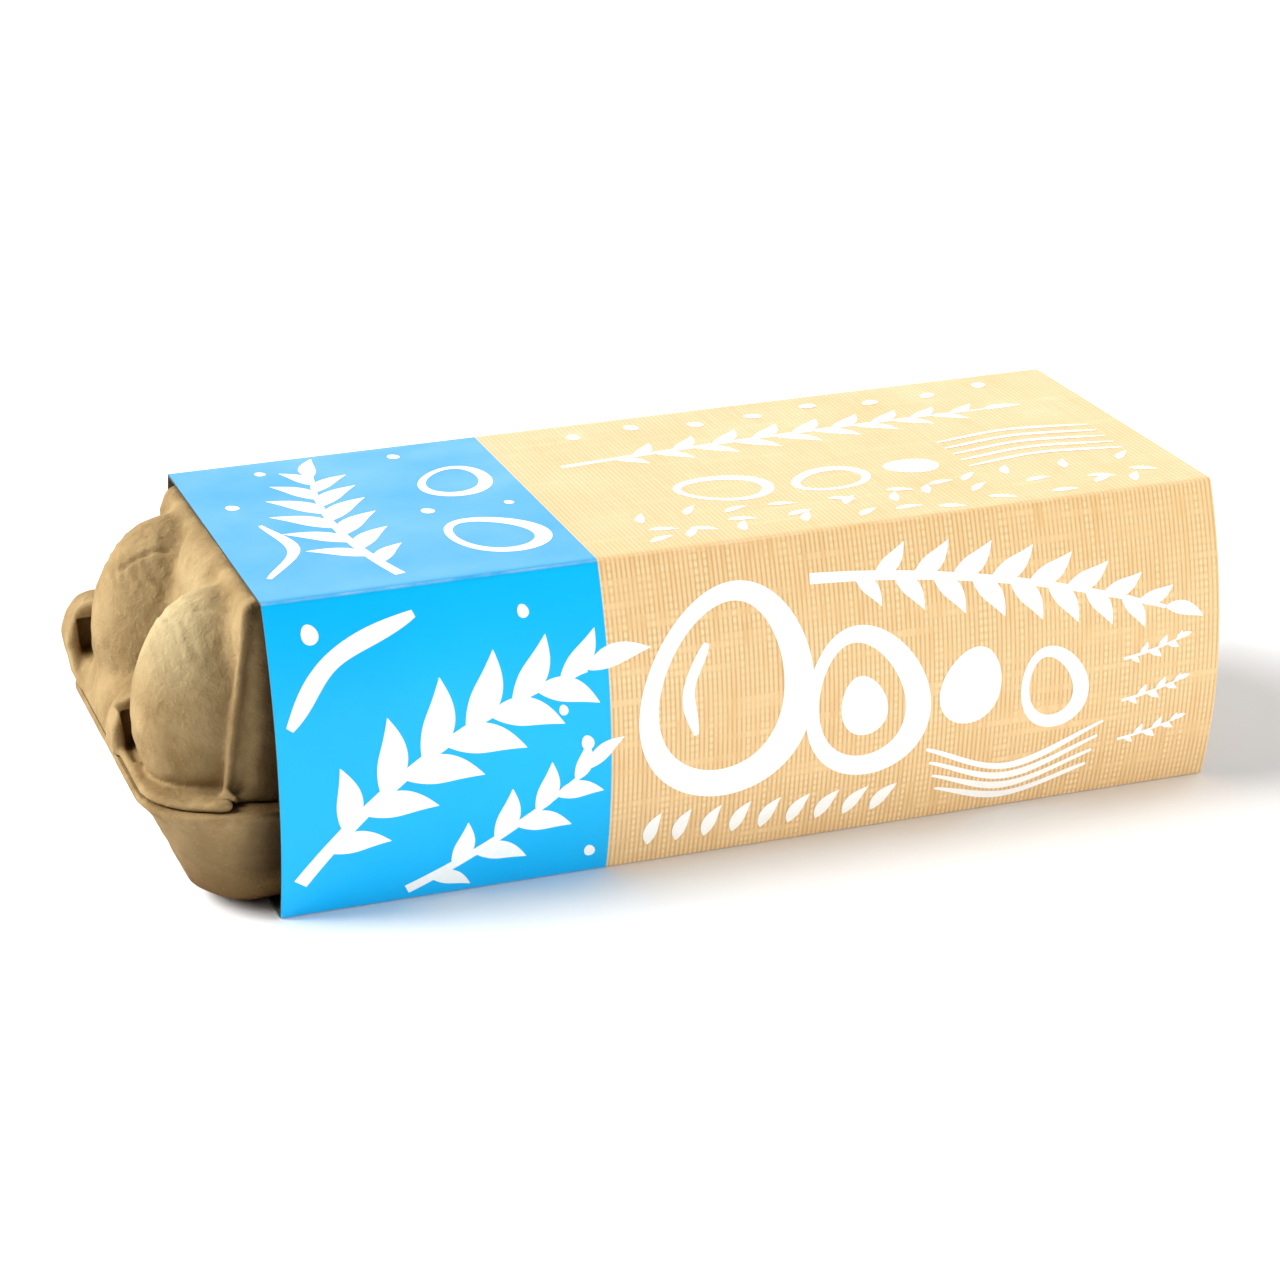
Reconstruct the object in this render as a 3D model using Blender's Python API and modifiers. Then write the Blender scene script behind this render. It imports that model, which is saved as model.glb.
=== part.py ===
"""Shut carton of moulded pulp for ten eggs, held closed by a printed cardboard sleeve.

The pack lies along X, with its end domes toward -X and +X, and stands on the sleeve's bottom
panel at Z = 0. Units are metres. The sleeve is a thin tube round the shut carton. The carton is
two pulp shells that meet at a level seam: a tray with ten cups below and a flat-topped lid with
two egg-shaped domes at each end above. Shut, neither can be seen into, so both are solid.
"""

import math

import bmesh
import bpy
from mathutils import Matrix, Vector

# Driving sizes of the sleeve
SLEEVE_HEIGHT = 0.070
SLEEVE_LEFT = -0.097
SLEEVE_LENGTH = 0.212
SLEEVE_FOLD_HALF = 0.046
SLEEVE_BOW = 0.0065
BOARD = 0.0006
BOW_STEPS = 12

# Driving sizes of the pulp carton
CARTON_HALF_LENGTH = 0.1225
CARTON_HALF_WIDTH = 0.0509
SEAM_Z = 0.026
GAP = 0.0003
FLANGE = 0.0015
LID_INSET = 0.0024
FRONT_CORNER = 0.022
REAR_CORNER = 0.011
CELL_PITCH = 0.047
CELL_ROWS = 5

# Lid walls from foot to roof: height, half length, half width and corner radius
LID_WALLS = (
    (SEAM_Z + 0.0008, 0.1084, 0.0462, 0.0120),
    (0.0290, 0.1070, 0.0450, 0.0110),
    (0.0360, 0.1050, 0.0444, 0.0090),
    (0.0520, 0.1018, 0.0438, 0.0065),
    (0.0650, 0.0996, 0.0432, 0.0050),
    (0.0679, 0.0985, 0.0424, 0.0045),
    (0.0690, 0.0966, 0.0409, 0.0040),
)

# Egg domes at both ends of the lid
DOME_CENTRE = Vector((0.1015, 0.0225, 0.0395))
DOME_RADII = Vector((0.0203, 0.0195, 0.0288))
DOME_PINCH = 0.65
DOME_SEGMENTS = 32
DOME_RINGS = 18

# Hooded lobes behind each dome, each with a blind slot in its front
LOBES = (
    ("mid", Vector((0.1145, 0.0055, 0.0265)), Vector((0.0072, 0.0115, 0.0088))),
    ("rear", Vector((0.1158, 0.0445, 0.0350)), Vector((0.0078, 0.0075, 0.0095))),
)
SLOTS = (
    ("mid", Vector((0.1182, -0.0015, 0.0302)), Vector((0.0032, 0.0100, 0.0064))),
    ("rear", Vector((0.1188, 0.0395, 0.0362)), Vector((0.0046, 0.0080, 0.0088))),
)
SLOT_ROUND = 0.0008

# Tray: flared skirt under the rim, then cups, as height with inset or half size
TRAY_BOTTOM = BOARD + GAP
TRAY_SKIRT = (
    (SEAM_Z - 0.5 * GAP, 0.0),
    (SEAM_Z - 0.5 * GAP - FLANGE, 0.0),
    (0.0230, 0.0012),
    (0.0205, 0.0032),
    (0.0170, 0.0052),
)
CUP_CENTRE_Y = 0.0225
CUP_WALLS = (
    (TRAY_BOTTOM, 0.0130, 0.0100),
    (TRAY_BOTTOM + 0.0010, 0.0162, 0.0120),
    (0.0045, 0.0186, 0.0130),
    (0.0090, 0.0204, 0.0130),
    (0.0150, 0.0222, 0.0125),
    (0.0190, 0.0233, 0.0120),
    (0.0225, 0.0243, 0.0110),
)
ARC_STEPS = 5
SHARP_ANGLE = math.radians(35)

# Colours as linear RGB, with roughness
PULP = ((0.45, 0.31, 0.17, 1.0), 0.95)
KRAFT_BOARD = ((0.78, 0.55, 0.29, 1.0), 0.75)


def make_collection(name):
    """Add an empty collection to the scene."""
    collection = bpy.data.collections.new(name)
    bpy.context.scene.collection.children.link(collection)
    return collection


def make_material(name, look):
    """Make a Principled material from a linear colour and a roughness."""
    colour, roughness = look
    material = bpy.data.materials.new(name)
    material.use_nodes = True
    shader = material.node_tree.nodes["Principled BSDF"]
    shader.inputs["Base Color"].default_value = colour
    shader.inputs["Roughness"].default_value = roughness
    shader.inputs["Metallic"].default_value = 0.0
    return material


def place(name, shape, collection, material=None):
    """Turn a bmesh into an object of a collection, its faces pointing out."""
    bmesh.ops.recalc_face_normals(shape, faces=shape.faces)
    mesh = bpy.data.meshes.new(name)
    shape.to_mesh(mesh)
    shape.free()
    mesh.shade_smooth()
    mesh.set_sharp_from_angle(angle=SHARP_ANGLE)
    if material:
        mesh.materials.append(material)
    piece = bpy.data.objects.new(name, mesh)
    collection.objects.link(piece)
    return piece


def rounded_outline(half_x, half_y, front_radius, rear_radius, z, centre=(0.0, 0.0)):
    """Rectangle with round corners at height z, anticlockwise from the front right corner."""
    corners = (
        (1, -1, front_radius, -90),
        (1, 1, rear_radius, 0),
        (-1, 1, rear_radius, 90),
        (-1, -1, front_radius, 180),
    )
    points = []
    for side_x, side_y, radius, start in corners:
        middle_x = centre[0] + side_x * (half_x - radius)
        middle_y = centre[1] + side_y * (half_y - radius)
        for step in range(ARC_STEPS + 1):
            angle = math.radians(start + 90 * step / ARC_STEPS)
            points.append(
                (middle_x + radius * math.cos(angle), middle_y + radius * math.sin(angle), z)
            )
    return points


def rim_outline(end_inset, side_inset, z):
    """Outline of the carton's rim at height z, drawn in at its ends and at its long sides."""
    return rounded_outline(
        CARTON_HALF_LENGTH - end_inset,
        CARTON_HALF_WIDTH - side_inset,
        FRONT_CORNER - end_inset,
        REAR_CORNER - end_inset,
        z,
    )


def loft(name, outlines, collection, material=None):
    """Closed solid through a stack of outlines that have the same number of points."""
    shape = bmesh.new()
    rings = [[shape.verts.new(point) for point in outline] for outline in outlines]
    for lower, upper in zip(rings, rings[1:]):
        for index in range(len(lower)):
            following = (index + 1) % len(lower)
            shape.faces.new((lower[index], lower[following], upper[following], upper[index]))
    shape.faces.new(reversed(rings[0]))
    shape.faces.new(rings[-1])
    return place(name, shape, collection, material)


def ellipsoid(name, centre, radii, pinch, floor_z, segments, rings, collection, material=None):
    """Ellipsoid whose lower half narrows by pinch towards its end, cut off flat at floor_z."""
    shape = bmesh.new()
    bmesh.ops.create_uvsphere(shape, u_segments=segments, v_segments=rings, radius=1.0)
    for vert in shape.verts:
        narrow = 1.0 - pinch * min(vert.co.z, 0.0) ** 2
        vert.co.x *= narrow
        vert.co.y *= narrow
    bmesh.ops.transform(
        shape, matrix=Matrix.Translation(centre) @ Matrix.Diagonal((*radii, 1.0)), verts=shape.verts
    )
    everything = shape.verts[:] + shape.edges[:] + shape.faces[:]
    cut = bmesh.ops.bisect_plane(
        shape,
        geom=everything,
        plane_co=(0.0, 0.0, floor_z),
        plane_no=(0.0, 0.0, -1.0),
        clear_outer=True,
    )
    border = [item for item in cut["geom_cut"] if isinstance(item, bmesh.types.BMEdge)]
    bmesh.ops.edgeloop_fill(shape, edges=border)
    return place(name, shape, collection, material)


def fuse(piece, extras):
    """Join the objects of the collection extras to piece and remove them."""
    union = piece.modifiers.new("union", "BOOLEAN")
    union.operation = "UNION"
    union.operand_type = "COLLECTION"
    union.solver = "EXACT"
    union.collection = extras
    depsgraph = bpy.context.evaluated_depsgraph_get()
    joined = bpy.data.meshes.new_from_object(piece.evaluated_get(depsgraph))
    joined.set_sharp_from_angle(angle=SHARP_ANGLE)
    piece.modifiers.clear()
    piece.data = joined
    for extra in list(extras.objects):
        bpy.data.objects.remove(extra)
    bpy.data.collections.remove(extras)


def mirrored(vector, side):
    """The same place at the pack's left end (side -1) or right end (side 1)."""
    return Vector((side * vector.x, vector.y, vector.z))


def make_sleeve(collection, material):
    """Board tube with flat top and bottom panels and bowed long sides."""
    half = SLEEVE_FOLD_HALF
    profile = []
    for side in (-1, 1):
        for step in range(BOW_STEPS + 1):
            rise = step / BOW_STEPS if side < 0 else 1 - step / BOW_STEPS
            bow = 4 * SLEEVE_BOW * rise * (1 - rise)
            profile.append((side * (half + bow), SLEEVE_HEIGHT * rise))
    shape = bmesh.new()
    near = [shape.verts.new((SLEEVE_LEFT, y, z)) for y, z in profile]
    far = [shape.verts.new((SLEEVE_LEFT + SLEEVE_LENGTH, y, z)) for y, z in profile]
    for index in range(len(profile)):
        following = (index + 1) % len(profile)
        shape.faces.new((near[index], near[following], far[following], far[index]))
    sleeve = place("sleeve", shape, collection, material)
    board = sleeve.modifiers.new("board", "SOLIDIFY")
    board.thickness = BOARD
    board.offset = -1.0
    board.use_even_offset = True
    return sleeve


def make_lid(collection, cutters, material):
    """Lid with its rim, leaning walls, flat roof, end domes and slotted lobes."""
    walls = [
        rounded_outline(half_x, half_y, radius, radius, z)
        for z, half_x, half_y, radius in LID_WALLS
    ]
    lid = loft("lid", walls, collection, material)
    extras = make_collection("lid_extras")
    rim_bottom = SEAM_Z + 0.5 * GAP
    rim = [rim_outline(LID_INSET, 0.0, z) for z in (rim_bottom, rim_bottom + FLANGE)]
    loft("lid_rim", rim, extras, material)
    dome_floor = rim_bottom + 0.5 * FLANGE
    lobe_floor = rim_bottom + 0.6 * FLANGE
    for side in (-1, 1):
        for row in (-1, 1):
            centre = Vector((side * DOME_CENTRE.x, row * DOME_CENTRE.y, DOME_CENTRE.z))
            ellipsoid(
                f"dome_{side}_{row}", centre, DOME_RADII, DOME_PINCH, dome_floor,
                DOME_SEGMENTS, DOME_RINGS, extras, material,
            )
        for label, centre, radii in LOBES:
            ellipsoid(
                f"lobe_{label}_{side}", mirrored(centre, side), radii, 0.0, lobe_floor,
                DOME_SEGMENTS // 2, DOME_RINGS // 2 + 1, extras, material,
            )
    fuse(lid, extras)
    for side in (-1, 1):
        for label, centre, size in SLOTS:
            add_slot(lid, f"slot_{label}_{side}", mirrored(centre, side), size, cutters)
    return lid


def add_slot(lid, name, centre, size, cutters):
    """Cut a blind upright slot with rounded edges."""
    shape = bmesh.new()
    matrix = Matrix.Translation(centre) @ Matrix.Diagonal((*size, 1.0))
    bmesh.ops.create_cube(shape, size=1.0, matrix=matrix)
    cutter = place(name, shape, cutters)
    cutter.hide_render = True
    cutter.display_type = "WIRE"
    edge = cutter.modifiers.new("round", "BEVEL")
    edge.width = SLOT_ROUND
    edge.segments = 2
    cut = lid.modifiers.new(name, "BOOLEAN")
    cut.operation = "DIFFERENCE"
    cut.solver = "EXACT"
    cut.object = cutter


def make_tray(collection, material):
    """Tray with its rim, flared skirt and ten tapered cups."""
    skirt = [rim_outline(inset, inset, z) for z, inset in TRAY_SKIRT]
    tray = loft("tray", skirt, collection, material)
    extras = make_collection("tray_extras")
    for column in range(CELL_ROWS):
        x = (column - 0.5 * (CELL_ROWS - 1)) * CELL_PITCH
        for row in (-1, 1):
            y = row * CUP_CENTRE_Y
            walls = [
                rounded_outline(half, half, radius, radius, z, (x, y))
                for z, half, radius in CUP_WALLS
            ]
            loft(f"cup_{column}_{row}", walls, extras, material)
    fuse(tray, extras)
    return tray


def main():
    """Clear the scene and build the pack."""
    for old in list(bpy.data.objects):
        bpy.data.objects.remove(old)
    pack = make_collection("egg_carton")
    cutters = make_collection("cutters")
    pulp = make_material("grey-brown moulded pulp", PULP)
    board = make_material("kraft sleeve board", KRAFT_BOARD)
    make_sleeve(pack, board)
    make_lid(pack, cutters, pulp)
    make_tray(pack, pulp)


main()
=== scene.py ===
"""Looks of the sleeved egg carton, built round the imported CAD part.

The pulp shells are skins of formulas: blocks, eggs and pockets blended as pulp blends them, which
a grid of two parameters can't follow into the hooded pockets. The sleeve is one board profile
carried along X, and its white print is flat ribbons laid on the board. Shapes are worked out in
millimetres and put into the meshes in metres.
"""

import math

import bmesh
import bpy
import numpy as np
from mathutils import Matrix, Vector


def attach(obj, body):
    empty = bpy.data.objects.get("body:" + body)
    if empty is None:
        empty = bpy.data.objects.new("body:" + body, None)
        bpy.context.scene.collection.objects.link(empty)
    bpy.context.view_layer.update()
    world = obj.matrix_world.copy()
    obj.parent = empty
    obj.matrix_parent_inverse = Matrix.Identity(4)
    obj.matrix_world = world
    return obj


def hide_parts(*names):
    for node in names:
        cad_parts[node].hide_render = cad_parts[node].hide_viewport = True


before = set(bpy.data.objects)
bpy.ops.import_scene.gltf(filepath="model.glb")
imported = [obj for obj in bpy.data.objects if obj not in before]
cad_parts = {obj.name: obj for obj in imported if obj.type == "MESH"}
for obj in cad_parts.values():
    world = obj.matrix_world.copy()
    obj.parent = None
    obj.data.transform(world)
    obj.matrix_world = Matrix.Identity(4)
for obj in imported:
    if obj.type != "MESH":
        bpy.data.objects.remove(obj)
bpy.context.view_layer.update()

MM = 0.001

# Sleeve in millimetres, mostly from the CAD source
SLEEVE_LEFT = -97.0
SLEEVE_RIGHT = 115.0
SLEEVE_HEIGHT = 70.0
FOLD_HALF = 46.0
SIDE_BOW = 6.5
BOARD = 0.65  # thickness
BOARD_INSET = 0.08  # inside the CAD sleeve's faces, so that the ink fits into its box
BOARD_GAP = 0.03  # between the glue flap and the bottom panel
FOLD_WINDOW = 16  # places in the moving average that rounds the folds, PROFILE_PACE apart
PROFILE_PACE = 0.1
INK_LIFT = 0.02  # over the board, and INK_STEP more for each band
INK_STEP = 0.0006
FLAP_WIDTH = 17.0
PANEL_SHORT = 0.3  # between the bottom panel's rear edge and the rear fold
BORDER_X = -25.8  # between the blue and the kraft field

# Carton in millimetres, mostly from the CAD source. Every x is a reach towards either end.
# Rims: half length, half width, radius of the front and of the rear corners
TRAY_RIM = (122.5, 49.2, 22.0, 11.0)
LID_RIM = (121.6, 46.6, 18.0, 10.0)
SEAM_Z = 26.0
SEAM_GAP_HALF = 0.15
LID_RIM_THICK = 1.6
ROOF_Z = 68.7
# Lid's block: height, half length, half width, corner radius
LID_WALLS = np.array(
    (
        (20.0, 107.4, 45.2, 15.5),
        (27.0, 107.0, 45.0, 13.0),
        (36.0, 105.2, 44.4, 11.5),
        (52.0, 102.6, 43.8, 9.0),
        (63.0, 100.9, 43.3, 5.5),
        (66.0, 99.8, 43.1, 5.0),
        (70.0, 98.4, 42.6, 4.5),
    )
)
# Domes: middle and radii
FRONT_DOME = ((101.4, -23.5, 40.0), (19.6, 17.2, 26.3))
REAR_DOME = ((100.9, 22.0, 42.0), (19.5, 18.0, 25.8))
DOME_PINCH = 0.12
# Web between the domes: height and how far out it is
WEB = np.array(((20.0, 113.0), (36.0, 109.0), (50.0, 106.0), (62.0, 104.0), (69.0, 101.6)))
WEB_Y = -3.0
WEB_HALF = 13.0
# Ridge up the corners: z, x and y of its foot and its top, and its radius at each. The rear one
# stops low.
RIDGE = ((27.0, 105.9, 41.1), (69.0, 98.6, 41.9))
RIDGE_RADII = (0.8, 1.3)
REAR_RIDGE_TOP = 31.0
# Ridge's foot: its ends and radius. Beside it the rim is left out nearer the middle than the
# notch's x and wider than its y, and its lip ends in a bead: middle and radii.
FOOT = ((105.4, 42.0, 28.2), (104.4, 43.6, 27.2), 0.7)
LIP_NOTCH = (106.0, 42.8)
LIP_END = ((107.6, 45.0, 27.0), (2.2, 1.5, 1.0))
# Low hump between the lobes: middle, how far it runs back, radii
SADDLE = ((114.2, -2.6, 27.0), 36.0, (7.5, 5.6, 9.6))
# Hooded lobes: middle, how far it runs back, how far it leans forward below its middle, radii
# and the flat front
LOBES = (
    ((116.4, -10.0, 28.6), 8.0, 0.0, (6.5, 5.5, 9.6), -7.6),
    ((115.8, 38.0, 35.0), 7.5, 9.0, (7.7, 6.5, 9.8), 38.0),
)
# Knobs on the hoods: middle and radii
KNOBS = (((118.6, -6.9, 37.1), (3.4, 1.4, 1.3)), ((118.0, 38.5, 42.4), (3.6, 1.5, 1.5)))
# Blind slots: low and high, inner and outer reach at both, front and back
SLOTS = (
    ((27.0, 35.9), (118.2, 116.2), (119.8, 120.3), (-16.0, -4.4)),
    ((33.0, 41.2), (118.4, 115.6), (120.7, 121.0), (31.0, 41.9)),
)
# Wrinkles of the crowns, as three places along each, with their depth and width
WRINKLES = (
    (((113.6, 16.4, 59.0), (110.4, 14.8, 61.9), (104.6, 12.6, 63.4)), 0.6, 1.05),
    (((114.8, 12.0, 57.4), (112.6, 10.5, 58.2), (109.5, 8.6, 58.4)), 0.35, 1.0),
    (((112.5, 22.0, 63.0), (108.0, 20.5, 65.4), (103.0, 20.5, 66.6)), 0.25, 1.0),
    (((113.0, -20.6, 61.9), (107.5, -23.2, 64.9), (101.5, -26.0, 66.0)), 0.24, 1.1),
    (((112.4, -25.0, 61.2), (106.6, -28.4, 63.9), (100.4, -32.4, 64.2)), 0.3, 1.2),
)
# Tray: height and how far the skirt is drawn in; height, half width and corner radius of a cup
SKIRT = np.array(((17.0, 6.2), (20.5, 4.0), (23.0, 1.6), (24.4, 0.0), (30.0, 0.0)))
CUPS = np.array(
    (
        (0.9, 13.0, 10.0),
        (1.9, 16.2, 12.0),
        (4.5, 18.6, 13.0),
        (9.0, 20.4, 13.0),
        (15.0, 22.2, 12.5),
        (19.0, 23.3, 12.0),
        (26.0, 24.6, 11.0),
    )
)
CELL_PITCH = 47.0
CUP_CENTRE_Y = 22.5
CUP_BOTTOM = 0.9
LAST_CELL = 2  # cells to each side of the middle one

# Grid of the pulp shells in mm: half reaches, where the fine ends start, and how far from the
# seam it is finest
GRID_X = 125.0
GRID_Y = 54.0
GRID_END_X = 93.0
SEAM_REACH = 3.2
# Two paces of each shell's grid, at its ends and in its hidden middle, with its heights
LID_GRID = (0.6, 6.0, 25.0, 71.0)
TRAY_GRID = (0.8, 2.4, -1.0, 27.5)
SHARP_ANGLE = 40.0  # degrees between two faces, past which their edge isn't shaded smooth

# Grains of the materials: size in mm, detail and roughness
PULP_GRAINS = ((11.0, 4.0, 0.6), (3.2, 3.0, 0.6), (0.9, 4.0, 0.7))  # mottle, lumps, fibres
# The second grain patches the folds' pale line, which is partly wear and partly painted highlight.
BOARD_GRAINS = ((30.0, 2.0, 0.5), (6.0, 3.0, 0.6), (18.0, 3.0, 0.6))  # clouds, wear, smears
# Printed threads: pitch and length of their stretches in mm, seed. Neighbours are THREAD_STEP
# apart in their noise.
UPRIGHT_THREADS = (1.05, 21.0, 3.0)
LEVEL_THREADS = (1.6, 30.0, 8.0)
THREAD_STEP = 3.7
# Reach of the painted shade in hollows and of the fold's wear and painted highlight, in metres
OCCLUSION_SHADE_REACH = 0.02
WEAR_AND_HIGHLIGHT_REACH = 0.0006

FLOOR_HALF = 6.0  # metres
FLOOR_COLOUR = "#F4F4F4"
WORLD_STRENGTH = 0.1
# Soft cards: name, place and size in metres, power. They face the pack.
CARDS = (
    ("back_card", (0.6, 2.4, 0.95), (3.0, 1.2), 25.0),
    ("front_card", (2.53, -1.53, 0.54), (1.4, 1.4), 132.0),
)
# Suns: name, azimuth from +X and height in degrees, strength, and the angle that each fills
SUNS = (
    ("key", 150, 32, 4.4, 50),
    ("left", 168, 42, 1.9, 30),
    ("right", 15, 35, 0.9, 50),
)

# Camera fitted to the photograph: turn, lift and roll in radians, target in mm, distance in
# metres, focal length in pixels of the frame
CAMERA_ANGLES = (-0.31667, 0.36013, -0.02419)
CAMERA_TARGET = (-0.553, 4.0, 31.055)
CAMERA_DISTANCE = 0.820285
FOCAL_PIXELS = 3647.68
FRAME_WIDTH = 1280
SENSOR_WIDTH = 36.0


def linear(code):
    """Linear colour with alpha of an sRGB hex code."""
    parts = [int(code[i : i + 2], 16) / 255 for i in (1, 3, 5)]
    return [c / 12.92 if c <= 0.04045 else ((c + 0.055) / 1.055) ** 2.4 for c in parts] + [1.0]


def add_node(tree, kind, inputs=None, **settings):
    """Add a shader node, set its properties and inputs, and return its outputs.

    An input is a number, a hex colour or another node's output, which is linked.
    """
    node = tree.nodes.new("ShaderNode" + kind)
    for name, value in settings.items():
        setattr(node, name, value)
    for name, value in (inputs or {}).items():
        if isinstance(value, bpy.types.NodeSocket):
            tree.links.new(value, node.inputs[name])
        else:
            node.inputs[name].default_value = linear(value) if isinstance(value, str) else value
    return node.outputs


def add_layers(tree, tone, layers):
    """Lay colours over a tone, and return the last one's output.

    A layer is a colour, a strength and some ramps. A ramp is a socket with the values where it
    starts and where it is full. The colour covers by its strength times all its ramps.
    """
    for colour, share, *ramps in layers:
        for source, start, full in ramps:
            ramp = {"Value": source, "From Min": start, "From Max": full, "To Max": share}
            share = add_node(tree, "MapRange", ramp)["Result"]
        mix = {"Factor": share, "A": tone, "B": colour}
        tone = add_node(tree, "Mix", mix, data_type="RGBA")["Result"]
    return tone


def threads(tree, across, along, pitch, length, seed):
    """Threads side by side: their brightness, and how far off a thread's edge each place is.

    The two coordinates are across and along the threads, in metres. The brightness is noise at
    the thread's number and the place along it, with stretches of that length in mm. The pitch is
    in mm, and the way off an edge runs from 0 there to 0.5 in the thread's middle.
    """
    place = add_node(tree, "Math", {0: across, 1: pitch * MM}, operation="DIVIDE")[0]
    number = add_node(tree, "Math", {0: place}, operation="FLOOR")[0]
    number = add_node(tree, "Math", {0: number, 1: THREAD_STEP}, operation="MULTIPLY")[0]
    run = add_node(tree, "Math", {0: along, 1: length * MM}, operation="DIVIDE")[0]
    run = add_node(tree, "Math", {0: run, 1: seed}, operation="ADD")[0]
    spot = add_node(tree, "CombineXYZ", {"X": number, "Y": run})["Vector"]
    noise = {"Vector": spot, "Scale": 1.0, "Detail": 1.5, "Roughness": 0.7}
    brightness = add_node(tree, "TexNoise", noise, noise_dimensions="2D")["Fac"]
    off_edge = add_node(tree, "Math", {0: place, 1: 0.5}, operation="PINGPONG")[0]
    return brightness, off_edge


def new_material(name):
    """Empty node material: returns it with its tree."""
    material = bpy.data.materials.new(name)
    material.use_nodes = True
    material.node_tree.nodes.clear()
    return material, material.node_tree


def smooth_min(a, b, width):
    """Lesser of two distances, with the crease between them filled over a width in mm."""
    share = np.clip(0.5 + 0.5 * (b - a) / width, 0.0, 1.0)
    return b * (1 - share) + a * share - width * share * (1 - share)


def smooth_max(a, b, width):
    """Greater of two distances, with the edge between them rounded over a width in mm."""
    return -smooth_min(-a, -b, width)


def plan_distance(x, y, half_x, half_y, radius):
    """Distance in plan to a rectangle with round corners: how far outside, or minus how deep."""
    over_x = np.abs(x) - half_x + radius
    over_y = np.abs(y) - half_y + radius
    outside = np.hypot(np.maximum(over_x, 0), np.maximum(over_y, 0))
    return outside + np.minimum(np.maximum(over_x, over_y), 0) - radius


def egg_distance(x, y, z, radii, pinch=0.0):
    """Nearly the distance to an ellipsoid: (s - 1) over the slope of s.

    A place lies on the ellipsoid made s times as large. Below the middle the width shrinks by
    the share pinch times d squared, d being the depth over the upright radius and d squared
    0.6 at most.
    """
    low = np.minimum(z / radii[2], 0.0)
    waist = 1 - pinch * np.minimum(low * low, 0.6)
    across_x, across_y, up = x / (radii[0] * waist), y / (radii[1] * waist), z / radii[2]
    size = np.sqrt(across_x**2 + across_y**2 + up**2) + 1e-9
    steepness = np.sqrt(
        (across_x / radii[0]) ** 2 + (across_y / radii[1]) ** 2 + (up / radii[2]) ** 2
    )
    return size * (size - 1) / (steepness + 1e-9)


def rim_distance(x, y, rim):
    """Distance in plan to a rim, whose front corners are rounder than its rear ones."""
    half_x, half_y, front_corner, rear_corner = rim
    return plan_distance(x, y, half_x, half_y, np.where(y < 0, front_corner, rear_corner))


def rod_distance(x, y, z, start, stop, radius):
    """Distance to a straight rod with round ends."""
    run = np.subtract(stop, start)
    off = (x - start[0], y - start[1], z - start[2])
    share = np.clip(sum(o * r for o, r in zip(off, run)) / (run**2).sum(), 0.0, 1.0)
    return np.sqrt(sum((o - r * share) ** 2 for o, r in zip(off, run))) - radius


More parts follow.
